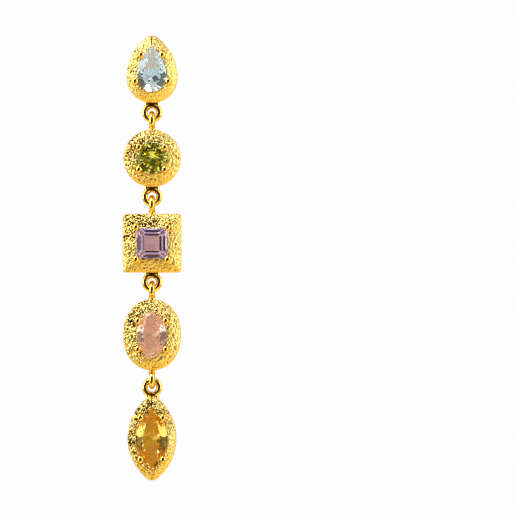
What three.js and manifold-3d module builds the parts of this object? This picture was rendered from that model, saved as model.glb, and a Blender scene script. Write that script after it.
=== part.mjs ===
// Long drop earring: five stone-set stations that hang one below another on soldered loops.
// Millimetres, +Z up, the front faces -Y. The origin is on the ear post's axis, at the back
// of the pear station, where that back rests on the ear lobe.
import * as THREE from "three";
import { mergeVertices } from "three/addons/utils/BufferGeometryUtils.js";
import Module from "manifold-3d";

const wasm = await Module();
wasm.setup();

// Stones, measured at the girdle
const pearStoneHalfWidth = 2.0;
const pearStoneTip = 4.03; // from the widest line up to the tip
const roundStoneRadius = 2.0;
const squareStoneHalfSide = 2.0;
const squareStoneCornerCut = 0.3;
const ovalStoneHalfWidth = 2.0;
const ovalStoneHalfHeight = 3.0;
const marquiseStoneHalfWidth = 2.0;
const marquiseStoneHalfLength = 4.0;
const girdleThickness = 0.1;
const crownHeight = 0.58;
const pavilionDepth = 1.55;
const brilliantTable = 0.58; // the table's width as a share of the girdle's
const squareTable = 0.63;
const squareCulet = 0.03; // the half side of the tiny flat at the square stone's foot
const starShare = 0.59; // how far up the crown the star facets reach down
const lowerHalfShare = 0.72; // how far down the pavilion the lower halves reach

// Frames: the width of the sloping flank outside each stone
const pearFlank = 1.22;
const pearTipFlank = 1.24;
const pearTipRadius = 1.0;
const roundFlank = 1.61;
const squareFlank = 1.7;
const squareCornerRadius = 0.4;
const ovalSideFlank = 1.65;
const ovalEndFlank = 1.46;
const ovalFullness = 2.15; // 2 is a true ellipse, more is fuller at the diagonals
const marquiseFlank = 1.07;
const marquiseTipFlank = 1.35;
const marquiseTipRadius = 0.9;

// Frames: depths, from the flat back towards the front
const backBevel = 0.15;
const edgeThickness = 1.25;
const rimHeight = 2.35;
const girdleHeight = 2.12; // the lower edge of the stone's girdle
const seatClearance = 0.06; // all round the stone
const ledgeWidth = 0.3; // the shelf under the girdle
const ledgeSlope = 1.3; // its fall for each millimetre inwards, steeper than any pavilion
const wellFloor = 0.4; // metal left behind the stone

// Claws
const clawRadius = 0.36;
const clawOffset = 0.2; // from the girdle out to the claw's centre
const clawTop = 2.86;
const clawRoot = 1.6;

// Loops
const ringWire = 0.36; // radius of the wire of the rings that face the front
const eyeWire = 0.37; // radius of the wire of the eyes that are seen edge on
const eyePlay = 0.09; // hole of an eye over the ring's wire
const ringPlay = 0.18; // hole of a ring over the eye's wire
const linkGap = 0.03; // between two wires that hang one on the other
const ringNeck = 0.31; // from a frame's edge to the middle of the ring's nearest wire
const marquiseRingNeck = 0.14;
const eyeNeck = 0.4;
const neckRadius = 0.43;
const neckFlare = 0.6;
const neckSink = 0.35; // how far a neck goes into its frame
const webHalfWidth = 1.02;
const marquiseWebHalfWidth = 0.8;
const webSink = 0.45;
const webThickness = 0.5;
const webSpread = Math.PI / 7; // where the web leaves the ring's wire, up from its middle

// Ear post
const postRadius = 0.45;
const postLength = 10.5;
const postHeight = 0.48; // above the pear station's widest line
const weldDistance = 1e-4;

// Number of flat sides
const outlineSteps = 48;
const stoneSteps = 16;
const cornerSteps = 3;
const roundSides = 12;
const linkSides = 16;
const wireSides = 6;

// Profile of a flank: how far out from the rim to the edge, and how far up from the edge to
// the rim, both as shares of that flank.
const flankProfile = [
  { out: 0.965, up: 0.13 },
  { out: 0.88, up: 0.3 },
  { out: 0.5, up: 0.68 },
  { out: 0.12, up: 0.97 },
  { out: 0.0, up: 1.0 },
];

// Profile of a claw's domed end, as shares of its radius: out from its axis, down from its top
const clawDome = [
  { out: 1.0, down: 1.0 },
  { out: 0.87, down: 0.5 },
  { out: 0.5, down: 0.13 },
];

// Profile of the post's rounded tip, as shares of its radius: out from its axis, back from
// its end
const postTip = [
  { out: 1.0, back: 1.0 },
  { out: 0.8, back: 0.4 },
  { out: 0.35, back: 0.0 },
];

// Steps of the square stone's crown and pavilion, as shares of its half side and of the depth
const squareCrownSteps = [{ width: 0.86, rise: 0.55 }];
const squarePavilionSteps = [
  { width: 0.82, fall: 0.38 },
  { width: 0.48, fall: 0.76 },
];

// Where the upper and lower claws stand, as shares of the stone's height above and below
// its centre
const clawHeightShares = {
  pear: { above: 0.7, below: 0.26 },
  round: { above: 0.7, below: 0.7 },
  square: { above: 1.02, below: 1.02 },
  oval: { above: 0.6, below: 0.6 },
  marquise: { above: 0.66, below: 0.66 },
};

const ringHole = eyeWire + ringPlay;
const eyeHole = ringWire + eyePlay;
const ringRadius = ringHole + ringWire;
const eyeRadius = eyeHole + eyeWire;
const wireToWire = ringWire + eyeWire + linkGap;
const loopDepth = edgeThickness / 2;
const girdleTop = girdleHeight + girdleThickness;

// Outlines. Each is a closed list of [across, up] points that starts at the top and runs
// down the +X side.

function arc(centre, radius, from, to, steps) {
  const points = [];
  for (let step = 0; step < steps; step++) {
    const angle = from + ((to - from) * step) / steps;
    points.push([
      centre[0] + radius * Math.cos(angle),
      centre[1] + radius * Math.sin(angle),
    ]);
  }
  return points;
}

// The +X side of a pointed arch, from its tip down to the line where it is widest
function archSide({ halfWidth, tip, tipRadius }, steps) {
  const tipCentre = tip - tipRadius;
  const sideRadius =
    (halfWidth ** 2 + tipCentre ** 2 - tipRadius ** 2) /
    (2 * (halfWidth - tipRadius));
  const sideCentre = halfWidth - sideRadius;
  const meeting = Math.atan2(tipCentre, -sideCentre);
  const tipSteps = tipRadius > 0 ? Math.round(steps / 4) : 0;
  return [
    ...arc([0, tipCentre], tipRadius, Math.PI / 2, meeting, tipSteps),
    ...arc([sideCentre, 0], sideRadius, meeting, 0, steps - tipSteps),
  ];
}

// The tip of a sharp arch whose sides have all moved out by the same distance
function grownTip(halfWidth, tip, grow) {
  const sideRadius = (halfWidth ** 2 + tip ** 2) / (2 * halfWidth);
  return Math.sqrt((sideRadius + grow) ** 2 - (sideRadius - halfWidth) ** 2);
}

// Closes a +X half, which starts at the top, with the foot point and the mirrored half
function closeHalf(half, foot) {
  const back = half
    .slice(1)
    .reverse()
    .map(([across, up]) => [-across, up]);
  return [...half, [0, foot], ...back];
}

function pearOutline(arch, steps) {
  const side = archSide(arch, steps / 4);
  const bowl = arc([0, 0], arch.halfWidth, 0, -Math.PI / 2, steps / 4);
  return closeHalf([...side, ...bowl], -arch.halfWidth);
}

function marquiseOutline(arch, steps) {
  const upper = archSide(arch, steps / 4);
  const lower = upper
    .slice(1)
    .reverse()
    .map(([across, up]) => [across, -up]);
  return closeHalf([...upper, [arch.halfWidth, 0], ...lower], -arch.tip);
}

function ovalOutline(halfWidth, halfHeight, fullness, steps) {
  const bend = (value) => Math.sign(value) * Math.abs(value) ** (2 / fullness);
  const points = [];
  for (let step = 0; step < steps; step++) {
    const angle = (2 * Math.PI * step) / steps;
    points.push([
      halfWidth * bend(Math.sin(angle)),
      halfHeight * bend(Math.cos(angle)),
    ]);
  }
  return points;
}

function squareOutline(halfSide, cornerRadius, steps) {
  const centre = halfSide - cornerRadius;
  const points = [];
  for (let corner = 0; corner < 4; corner++) {
    const start = Math.PI / 2 - (corner * Math.PI) / 2;
    const middle = start - Math.PI / 4;
    const at = [
      centre * Math.SQRT2 * Math.cos(middle),
      centre * Math.SQRT2 * Math.sin(middle),
    ];
    const end = start - Math.PI / 2;
    points.push(...arc(at, cornerRadius, start, end, steps));
    points.push([
      at[0] + cornerRadius * Math.cos(end),
      at[1] + cornerRadius * Math.sin(end),
    ]);
  }
  return points;
}

// Each station's outlines: its stone's girdle moved out by grow, and the edge of its frame
const outlines = {
  pear: {
    girdle: (grow, steps) =>
      pearOutline(
        {
          halfWidth: pearStoneHalfWidth + grow,
          tip: grownTip(pearStoneHalfWidth, pearStoneTip, grow),
          tipRadius: 0,
        },
        steps,
      ),
    edge: pearOutline(
      {
        halfWidth: pearStoneHalfWidth + pearFlank,
        tip: pearStoneTip + pearTipFlank,
        tipRadius: pearTipRadius,
      },
      outlineSteps,
    ),
    above: pearStoneTip,
    below: pearStoneHalfWidth,
  },
  round: {
    girdle: (grow, steps) =>
      ovalOutline(roundStoneRadius + grow, roundStoneRadius + grow, 2, steps),
    edge: ovalOutline(
      roundStoneRadius + roundFlank,
      roundStoneRadius + roundFlank,
      2,
      outlineSteps,
    ),
    above: roundStoneRadius,
    below: roundStoneRadius,
  },
  square: {
    girdle: (grow) =>
      squareOutline(
        squareStoneHalfSide + grow,
        squareStoneCornerCut + grow,
        cornerSteps,
      ),
    edge: squareOutline(
      squareStoneHalfSide + squareFlank,
      squareCornerRadius,
      cornerSteps,
    ),
    above: squareStoneHalfSide,
    below: squareStoneHalfSide,
  },
  oval: {
    girdle: (grow, steps) =>
      ovalOutline(
        ovalStoneHalfWidth + grow,
        ovalStoneHalfHeight + grow,
        2,
        steps,
      ),
    edge: ovalOutline(
      ovalStoneHalfWidth + ovalSideFlank,
      ovalStoneHalfHeight + ovalEndFlank,
      ovalFullness,
      outlineSteps,
    ),
    above: ovalStoneHalfHeight,
    below: ovalStoneHalfHeight,
  },
  marquise: {
    girdle: (grow, steps) =>
      marquiseOutline(
        {
          halfWidth: marquiseStoneHalfWidth + grow,
          tip: grownTip(marquiseStoneHalfWidth, marquiseStoneHalfLength, grow),
          tipRadius: 0,
        },
        steps,
      ),
    edge: marquiseOutline(
      {
        halfWidth: marquiseStoneHalfWidth + marquiseFlank,
        tip: marquiseStoneHalfLength + marquiseTipFlank,
        tipRadius: marquiseTipRadius,
      },
      outlineSteps,
    ),
    above: marquiseStoneHalfLength,
    below: marquiseStoneHalfLength,
  },
};

// Solids

function solidFrom(geometry) {
  geometry.deleteAttribute("normal");
  geometry.deleteAttribute("uv");
  const merged = mergeVertices(geometry, weldDistance);
  return new wasm.Manifold(
    new wasm.Mesh({
      numProp: 3,
      vertProperties: merged.attributes.position.array,
      triVerts: new Uint32Array(merged.index.array),
    }),
  );
}

function meshFrom(name, solid, material) {
  const { vertProperties, triVerts } = solid.getMesh();
  const geometry = new THREE.BufferGeometry();
  geometry.setAttribute(
    "position",
    new THREE.BufferAttribute(vertProperties, 3),
  );
  geometry.setIndex(new THREE.BufferAttribute(triVerts, 1));
  geometry.computeVertexNormals();
  const mesh = new THREE.Mesh(geometry, material);
  mesh.name = name;
  return mesh;
}

function geometryFrom(points, triangles) {
  const geometry = new THREE.BufferGeometry();
  const values = points.flatMap((point) => [point.x, point.y, point.z]);
  geometry.setAttribute(
    "position",
    new THREE.Float32BufferAttribute(values, 3),
  );
  geometry.setIndex(triangles);
  return geometry;
}

// A point of an outline at a height above the back, which is towards -Y
function lift([across, up], height) {
  return new THREE.Vector3(across, -height, up);
}

// A closed solid through rings of equal count, from the back cap to the last ring's cap
function loft(rings) {
  const count = rings[0].outline.length;
  const points = rings.flatMap(({ outline, height }) =>
    outline.map((point) => lift(point, height)),
  );
  const backCentre = points.push(lift([0, 0], rings[0].height)) - 1;
  const frontCentre = points.push(lift([0, 0], rings.at(-1).height)) - 1;
  const triangles = [];
  const last = (rings.length - 1) * count;
  for (let k = 0; k < count; k++) {
    const next = (k + 1) % count;
    triangles.push(backCentre, k, next);
    triangles.push(frontCentre, last + next, last + k);
    for (let base = 0; base < last; base += count) {
      triangles.push(base + k, base + count + k, base + count + next);
      triangles.push(base + k, base + count + next, base + next);
    }
  }
  return solidFrom(geometryFrom(points, triangles));
}

function between(inner, outer, share) {
  return inner.map(([across, up], k) => [
    across + (outer[k][0] - across) * share,
    up + (outer[k][1] - up) * share,
  ]);
}

// A frame: flat back, upright edge, sloping flank, and the blind well that holds the stone
function frame({ girdle, edge }) {
  const rim = girdle(seatClearance, outlineSteps);
  const well = girdle(-ledgeWidth, outlineSteps);
  const [edgeStart, rimStart] = [edge[0], rim[0]];
  const flank = Math.hypot(edgeStart[0] - rimStart[0], edgeStart[1] - rimStart[1]);
  const bevel = backBevel / flank;
  const rise = rimHeight - edgeThickness;
  const seat = girdleHeight - seatClearance;
  const ledgeFall = ledgeSlope * (ledgeWidth + seatClearance);
  return loft([
    { outline: between(rim, edge, 1 - bevel), height: 0 },
    { outline: edge, height: backBevel },
    { outline: edge, height: edgeThickness },
    ...flankProfile.map(({ out, up }) => ({
      outline: between(rim, edge, out),
      height: edgeThickness + up * rise,
    })),
    { outline: rim, height: seat },
    { outline: well, height: seat - ledgeFall },
    { outline: well, height: wellFloor },
  ]);
}

// A convex solid from flat facets, each a list of its corners in either direction round
function facetted(facets, inside) {
  const points = [];
  const triangles = [];
  for (const facet of facets) {
    const [a, b, c] = facet;
    const normal = b.clone().sub(a).cross(c.clone().sub(a));
    const outward = normal.dot(a.clone().sub(inside)) > 0;
    const corners = outward ? facet : [...facet].reverse();
    const first = points.length;
    points.push(...corners);
    for (let k = 1; k < corners.length - 1; k++)
      triangles.push(first, first + k, first + k + 1);
  }
  return solidFrom(geometryFrom(points, triangles));
}

// Where the tangents at two points of an outline cross
function crossing(pointA, alongA, pointB, alongB) {
  const det = alongA[0] * alongB[1] - alongA[1] * alongB[0];
  const apart = [pointB[0] - pointA[0], pointB[1] - pointA[1]];
  const reach = (apart[0] * alongB[1] - apart[1] * alongB[0]) / det;
  return [pointA[0] + alongA[0] * reach, pointA[1] + alongA[1] * reach];
}

// A brilliant cut on any outline: table, stars, kites and upper halves over the girdle,
// lower halves and mains below it
function brilliant({ girdle }, grow) {
  const ring = girdle(grow, stoneSteps);
  const at = (k) => ring[(k + stoneSteps) % stoneSteps];
  const along = (k) => [at(k + 1)[0] - at(k - 1)[0], at(k + 1)[1] - at(k - 1)[1]];
  const shrink = ([across, up], share) => [across * share, up * share];
  const low = girdleHeight - grow;
  const high = girdleTop + grow;
  const top = girdleTop + crownHeight + grow;
  const culet = lift([0, 0], girdleHeight - pavilionDepth - grow);
  const facets = [];
  const tableCorners = [];
  const star = [];
  const lower = [];
  for (let k = 0; k < stoneSteps; k += 2) {
    const outer = crossing(at(k), along(k), at(k + 2), along(k + 2));
    const inner = crossing(
      shrink(at(k), brilliantTable),
      along(k),
      shrink(at(k + 2), brilliantTable),
      along(k + 2),
    );
    tableCorners[k] = lift(shrink(at(k), brilliantTable), top);
    star[k] = lift(outer, high).lerp(lift(inner, top), starShare);
    lower[k] = lift(outer, low).lerp(culet, lowerHalfShare);
  }
  const turn = (list, k) => list[(k + stoneSteps) % stoneSteps];
  facets.push(tableCorners.filter(Boolean));
  for (let k = 0; k < stoneSteps; k += 2) {
    facets.push([turn(tableCorners, k), turn(tableCorners, k + 2), star[k]]);
    facets.push([tableCorners[k], star[k], lift(at(k), high), turn(star, k - 2)]);
    facets.push([culet, lower[k], lift(at(k), low), turn(lower, k - 2)]);
    for (const half of [k, k + 1]) {
      facets.push([star[k], lift(at(half), high), lift(at(half + 1), high)]);
      facets.push([lower[k], lift(at(half), low), lift(at(half + 1), low)]);
      facets.push([
        lift(at(half), high),
        lift(at(half + 1), high),
        lift(at(half + 1), low),
        lift(at(half), low),
      ]);
    }
  }
  return facetted(facets, lift([0, 0], (low + high) / 2));
}

// A square step cut with its corners cut off
function stepCut(grow) {
  const half = squareStoneHalfSide + grow;
  const cut = squareStoneCornerCut;
  const ring = (share, height) => ({
    outline: squareOutline(half * share, cut * share, 1),
    height,
  });
  const depth = pavilionDepth + grow;
  const high = girdleTop + grow;
  const low = girdleHeight - grow;
  return loft([
    { outline: squareOutline(squareCulet, squareCulet / 2, 1), height: low - depth },
    ...squarePavilionSteps
      .map(({ width, fall }) => ring(width, low - fall * depth))
      .reverse(),
    ring(1, low),
    ring(1, high),
    ...squareCrownSteps.map(({ width, rise }) =>
      ring(width, high + rise * crownHeight),
    ),
    ring(squareTable, high + crownHeight),
  ]);
}

function stone(name, grow) {
  return name === "square" ? stepCut(grow) : brilliant(outlines[name], grow);
}

// How far across an outline is at a given height up it, on the +X side
function acrossAt(outline, up) {
  for (let k = 0; k + 1 < outline.length; k++) {
    const [from, to] = [outline[k], outline[k + 1]];
    if (from[1] >= up && to[1] <= up && from[1] > to[1])
      return from[0] + ((to[0] - from[0]) * (from[1] - up)) / (from[1] - to[1]);
  }
  throw new Error("the outline doesn't reach that height");
}

function clawAt(across, up) {
  const profile = [
    new THREE.Vector2(0, -clawTop),
    ...clawDome
      .map(({ out, down }) => [out * clawRadius, down * clawRadius - clawTop])
      .map(([out, y]) => new THREE.Vector2(out, y))
      .reverse(),
    new THREE.Vector2(clawRadius, -clawRoot),
    new THREE.Vector2(0, -clawRoot),
  ];
  const geometry = new THREE.LatheGeometry(profile, roundSides);
  geometry.translate(across, 0, up);
  return solidFrom(geometry);
}

// Four claws, notched where they bear on the stone
function claws(name) {
  const { girdle, above, below } = outlines[name];
  const line = girdle(clawOffset, outlineSteps);
  const rows = [clawHeightShares[name].above * above, -clawHeightShares[name].below * below];
  const posts = rows.flatMap((up) => {
    const across = acrossAt(line, up);
    return [clawAt(across, up), clawAt(-across, up)];
  });
  const joined = posts.reduce((all, post) => all.add(post));
  return joined.subtract(stone(name, seatClearance));
}

// A ring that faces the front, with the web that solders it to the frame. side is +1 for a
// ring above the frame and -1 for one below it.
function faceRing(edgeUp, side, neck, halfWidth) {
  const centre = edgeUp + side * (neck + ringRadius);
  const torus = new THREE.TorusGeometry(
    ringRadius,
    ringWire,
    wireSides,
    linkSides,
  );
  torus.rotateX(Math.PI / 2);
  const web = new THREE.Shape();
  web.absarc(0, 0, ringRadius, webSpread, Math.PI - webSpread, false);
  web.lineTo(-halfWidth, neck + ringRadius + webSink);
  web.lineTo(halfWidth, neck + ringRadius + webSink);
  const plate = new THREE.ExtrudeGeometry(web, {
    depth: webThickness,
    bevelEnabled: false,
    curveSegments: linkSides / 2,
  });
  plate.translate(0, 0, -webThickness / 2);
  plate.rotateX(Math.PI / 2);
  if (side > 0) plate.rotateY(Math.PI);
  const both = solidFrom(torus).add(solidFrom(plate));
  return both.translate([0, -loopDepth, centre]);
}

// An eye seen edge on, with its flared neck
function edgeEye(edgeUp, side) {
  const centre = edgeUp + side * (eyeNeck + eyeRadius);
  const torus = new THREE.TorusGeometry(
    eyeRadius,
    eyeWire,
    wireSides,
    linkSides,
  );
  torus.rotateY(Math.PI / 2);
  const start = eyeRadius - eyeWire / 2;
  const end = eyeRadius + eyeNeck + neckSink;
  const neck = new THREE.LatheGeometry(
    [
      new THREE.Vector2(0, -end),
      new THREE.Vector2(neckFlare, -end),
      new THREE.Vector2(neckFlare, -(end - neckSink)),
      new THREE.Vector2(neckRadius, -(eyeRadius + eyeWire / 2)),
      new THREE.Vector2(neckRadius, -start),
      new THREE.Vector2(0, -start),
    ],
    roundSides,
  );
  neck.rotateX(side > 0 ? Math.PI / 2 : -Math.PI / 2);
  const both = solidFrom(torus).add(solidFrom(neck));
  return both.translate([0, -loopDepth, centre]);
}

function extent(outline) {
  const ups = outline.map((point) => point[1]);
  return { top: Math.max(...ups), foot: Math.min(...ups) };
}

function setting(name, loops) {
  const solids = [frame(outlines[name]), claws(name), ...loops];
  return solids.reduce((all, part) => all.add(part));
}

function earPost() {
  const profile = [
    new THREE.Vector2(0, 0),
    new THREE.Vector2(postRadius, 0),
    ...postTip.map(
      ({ out, back }) =>
        new THREE.Vector2(out * postRadius, postLength - back * postRadius),
    ),
    new THREE.Vector2(0, postLength),
  ];
  return solidFrom(new THREE.LatheGeometry(profile, linkSides));
}

// Finishes

const gold = () =>
  new THREE.MeshStandardMaterial({ color: 0xf0b840, roughness: 0.3, metalness: 1 });
const gem = (color) =>
  new THREE.MeshStandardMaterial({ color, roughness: 0.05, metalness: 0 });
const stoneColours = {
  pear: 0xbfdde6,
  round: 0x9aa83a,
  square: 0xb8a2cf,
  oval: 0xe3a3b4,
  marquise: 0xe0861c,
};

// The stations, each in the group of the one that it hangs from

function station(name, loops) {
  const group = new THREE.Group();
  group.add(meshFrom(name + "_setting", setting(name, loops), gold()));
  group.add(meshFrom(name + "_stone", stone(name, 0), gem(stoneColours[name])));
  return group;
}

const ends = Object.fromEntries(
  Object.entries(outlines).map(([name, { edge }]) => [name, extent(edge)]),
);
const ringBelow = (name) => faceRing(ends[name].foot, -1, ringNeck, webHalfWidth);
const eyeAbove = (name) => edgeEye(ends[name].top, 1);

const stations = {
  pear: station("pear", [ringBelow("pear")]),
  round: station("round", [eyeAbove("round"), ringBelow("round")]),
  square: station("square", [eyeAbove("square"), ringBelow("square")]),
  oval: station("oval", [eyeAbove("oval"), edgeEye(ends.oval.foot, -1)]),
  marquise: station("marquise", [
    faceRing(ends.marquise.top, 1, marquiseRingNeck, marquiseWebHalfWidth),
  ]),
};

// From a station's centre to the middle of the wire that the next station hangs on, and
// from the centre of that next station up to the middle of its own uppermost wire
const ringDrop = ringNeck + 2 * ringRadius;
const eyeDrop = eyeNeck + 2 * eyeRadius;
const links = [
  { from: "pear", to: "round", hook: ringDrop, hung: eyeDrop },
  { from: "round", to: "square", hook: ringDrop, hung: eyeDrop },
  { from: "square", to: "oval", hook: ringDrop, hung: eyeDrop },
  {
    from: "oval",
    to: "marquise",
    hook: eyeDrop,
    hung: marquiseRingNeck + 2 * ringRadius,
  },
];
for (const { from, to, hook, hung } of links) {
  const pivot = ends[from].foot - hook;
  stations[to].position.z = pivot + wireToWire - hung - ends[to].top;
  stations[from].add(stations[to]);
}
stations.pear.position.z = -postHeight;

const earring = new THREE.Group();
earring.add(stations.pear);
earring.add(meshFrom("ear_post", earPost(), gold()));

export default earring;
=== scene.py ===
"""Looks of a long drop earring: five grained gold stations with cut stones, hung on loops.

The packed frame gives the stones, the bodies and their places. This script gives the gold its
dense, grained form, its claws and loops, and gives every surface its finish.
"""

import math
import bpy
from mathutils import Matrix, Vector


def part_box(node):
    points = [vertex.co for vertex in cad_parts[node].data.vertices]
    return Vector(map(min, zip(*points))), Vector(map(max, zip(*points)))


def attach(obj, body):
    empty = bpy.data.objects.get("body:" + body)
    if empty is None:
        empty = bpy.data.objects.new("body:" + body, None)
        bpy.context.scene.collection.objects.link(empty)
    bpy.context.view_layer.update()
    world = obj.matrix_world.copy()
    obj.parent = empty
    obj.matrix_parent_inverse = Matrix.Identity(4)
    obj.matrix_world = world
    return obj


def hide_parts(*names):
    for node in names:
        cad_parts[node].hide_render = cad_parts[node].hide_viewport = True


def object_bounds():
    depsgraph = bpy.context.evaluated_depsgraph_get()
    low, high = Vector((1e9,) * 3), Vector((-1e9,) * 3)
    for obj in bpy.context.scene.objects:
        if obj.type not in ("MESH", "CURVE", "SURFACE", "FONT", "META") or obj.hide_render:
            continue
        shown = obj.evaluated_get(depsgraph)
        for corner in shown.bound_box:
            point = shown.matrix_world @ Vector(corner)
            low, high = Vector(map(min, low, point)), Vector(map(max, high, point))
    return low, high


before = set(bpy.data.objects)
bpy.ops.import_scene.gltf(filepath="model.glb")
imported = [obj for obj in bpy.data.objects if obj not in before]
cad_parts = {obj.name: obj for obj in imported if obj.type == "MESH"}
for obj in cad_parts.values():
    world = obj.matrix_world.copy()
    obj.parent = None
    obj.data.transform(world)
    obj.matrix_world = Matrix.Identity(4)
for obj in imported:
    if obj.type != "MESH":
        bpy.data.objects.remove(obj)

from types import SimpleNamespace

import bpy
import numpy as np
from bpy.props import FloatProperty, FloatVectorProperty, IntProperty, PointerProperty
from mathutils import Matrix, Vector

bl_info = {
    "name": "Five-stone drop earring",
    "version": (1, 0, 0),
    "blender": (4, 5, 0),
    "location": "3D View > Sidebar > Earring",
    "description": "Builds the looks of a drop earring around its packed frame",
    "category": "Object",
}

CAD_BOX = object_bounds()
METRES = 0.001  # one millimetre
STATIONS = ("pear", "round", "square", "oval", "marquise")

# Number of steps
OUTLINE_STEPS = 520
CORNER_STEPS = 12
FLANK_ROWS = 44
WALL_ROWS = 9
CLAW_SIDES = 32
CLAW_ROWS = 12
WIRE_SIDES = 28
RING_SIDES = 72
ARM_STEPS = 16
POST_SIDES = 48
FILLET_STEPS = 6
TIP_STEPS = 9
CARD_SIDES = 64

# Edges that turn by more than this stay crisp
CRISP_ANGLE = math.radians(38)
FRAME_CRISP_ANGLE = math.radians(50)


# Sizes and colours


def length(name, millimetres, description):
    """A length that is shown in the scene's units."""
    return FloatProperty(
        name=name,
        description=description,
        default=millimetres * METRES,
        unit="LENGTH",
        precision=5,
    )


def share(name, value, description):
    return FloatProperty(name=name, description=description, default=value, subtype="FACTOR")


def colour(name, value, description):
    return FloatVectorProperty(
        name=name,
        description=description,
        default=value,
        subtype="COLOR",
        size=3,
        min=0,
        max=1,
    )


def for_stations(fields, defaults):
    """Properties of the same fields for each station, from a row of defaults for each."""
    made = {}
    for station, row in defaults.items():
        for (field, kind, description), value in zip(fields, row):
            name = f"{station} {field}".capitalize()
            made[f"{station}_{field}"] = kind(name, value, description)
    return made


class FrameSizes(bpy.types.PropertyGroup):
    """Sloping frames round the stones"""

    pear_flank: length("Pear flank", 1.22, "Width of the slope beside the pear stone")
    pear_tip_flank: length("Pear tip flank", 1.24, "Width of the slope over the pear's tip")
    pear_tip_radius: length("Pear tip radius", 1.0, "Rounding of the pear frame's tip")
    round_flank: length("Round flank", 1.61, "Width of the slope round the round stone")
    square_flank: length("Square flank", 1.7, "Width of the slope round the square stone")
    square_corner: length("Square corner", 0.4, "Corner radius of the square frame")
    stone_corner: length("Stone corner", 0.3, "Corner radius of the square stone's seat")
    oval_side_flank: length("Oval side flank", 1.65, "Width of the slope beside the oval stone")
    oval_end_flank: length("Oval end flank", 1.46, "Width of the slope at the oval's ends")
    oval_fullness: share("Oval fullness", 2.15, "Two is a true ellipse, more is fuller")
    marquise_flank: length("Marquise flank", 1.07, "Width of the slope beside the marquise")
    marquise_tip_flank: length("Marquise tip flank", 1.35, "Width of the slope at its tips")
    marquise_tip_radius: length("Marquise tip radius", 0.9, "Rounding of the frame's tips")
    back_bevel: length("Back bevel", 0.15, "Bevel round the flat back")
    edge_thickness: length("Edge thickness", 1.25, "Height of the upright outer edge")
    rim_height: length("Rim height", 2.35, "Height of the rim round the stone")
    girdle_height: length("Girdle height", 2.12, "Height of the stone's girdle over the back")
    pear_lip: length("Pear lip", 0.17, "How far the pear's rim reaches over its stone")
    round_lip: length("Round lip", 0.02, "The same on the round station")
    square_lip: length("Square lip", 0.09, "The same on the square station")
    oval_lip: length("Oval lip", 0.18, "The same on the oval station")
    marquise_lip: length("Marquise lip", -0.06, "The same on the marquise")
    seat_clearance: length("Seat clearance", 0.06, "Gap round the stone")
    ledge_width: length("Ledge width", 0.3, "Width of the shelf under the girdle")
    ledge_slope: share("Ledge slope", 1.3, "Fall of the shelf for each unit inwards")
    well_floor: length("Well floor", 0.4, "Metal behind the stone")


class GrainSizes(bpy.types.PropertyGroup):
    """Grain of the sloping flanks"""

    pebble: length("Pebble", 0.36, "Width of one bump")
    pebble_depth: length("Pebble depth", 0.21, "Height of the bumps")
    ripple: length("Ripple", 0.34, "Width of the uneven patches")
    ripple_depth: length("Ripple depth", 0.14, "Height of the uneven patches")
    crack_width: share("Crack width", 0.105, "Half a crack's width as a share of a bump's")
    crack_depth: length("Crack depth", 0.05, "Depth of a crack")
    crease_width: length("Crease width", 0.12, "Half width of the crease at a pointed tip")
    crease_depth: length("Crease depth", 0.2, "Depth of that crease")
    seed: IntProperty(name="Seed", description="Where the grain falls", default=7)


class ClawSizes(bpy.types.PropertyGroup):
    """Four claws at each stone"""

    width: length("Width", 0.74, "Width of a claw")
    tallness: length("Tallness", 0.92, "Size of a claw up and down")
    dome: length("Dome", 0.29, "Height of a claw's domed top")
    height: length("Top", 2.92, "Height of a claw's top over the back")
    root: length("Root", 2.05, "Height of a claw's foot over the back")
    flare: share("Flare", 1.3, "Width of a claw's foot as a share of its width")
    offset: length("Offset", 0.15, "From the girdle out to the middle of a claw")
    clearance: length("Clearance", 0.03, "Gap between a claw and its stone")


class LoopSizes(bpy.types.PropertyGroup):
    """Rings that face the front and eyes that are seen edge on"""

    ring_radius: length("Ring radius", 0.91, "To the middle of the ring's wire")
    ring_wire: length("Ring wire", 0.37, "Radius of the ring's wire")
    ring_neck: length("Ring neck", 0.31, "From the frame to the middle of the ring's wire")
    marquise_neck: length("Marquise neck", 0.14, "The same over the marquise")
    eye_radius: length("Eye radius", 0.82, "To the middle of the eye's wire")
    eye_wire: length("Eye wire", 0.375, "Radius of the eye's wire")
    eye_neck: length("Eye neck", 0.4, "From the frame to the middle of the eye's wire")
    neck_radius: length("Neck radius", 0.4, "Radius of an eye's neck")
    neck_flare: length("Neck flare", 0.6, "Radius of an eye's neck where it meets the frame")
    arm_radius: length("Arm radius", 0.27, "Radius of the arms that join a ring to its frame")
    arm_spread: length("Arm spread", 0.6, "From the middle to each arm")
    web_thickness: length("Web thickness", 0.42, "Thickness of the plate between the arms")
    sink: length("Sink", 0.4, "How far a neck goes into its frame")
    voxel: length("Voxel", 0.045, "Size of the cells that blend a loop with its neck")


class PostSizes(bpy.types.PropertyGroup):
    """Plain ear post"""

    fillet: length("Fillet", 0.12, "Solder fillet where the post meets the back")


class StoneColours(bpy.types.PropertyGroup):
    """Tints of the five stones"""

    __annotations__ = for_stations(
        (
            ("tint", colour, "Colour of the stone"),
            ("clarity", share, "How clear the stone is"),
            ("index", share, "Refractive index of the stone"),
        ),
        {
            "pear": ((0.72, 0.87, 0.92), 1.0, 1.62),
            "round": ((0.70, 0.68, 0.11), 1.0, 1.66),
            "square": ((0.69, 0.58, 0.79), 1.0, 1.55),
            "oval": ((0.97, 0.71, 0.58), 0.97, 1.58),
            "marquise": ((0.97, 0.70, 0.16), 1.0, 1.58),
        },
    )


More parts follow.
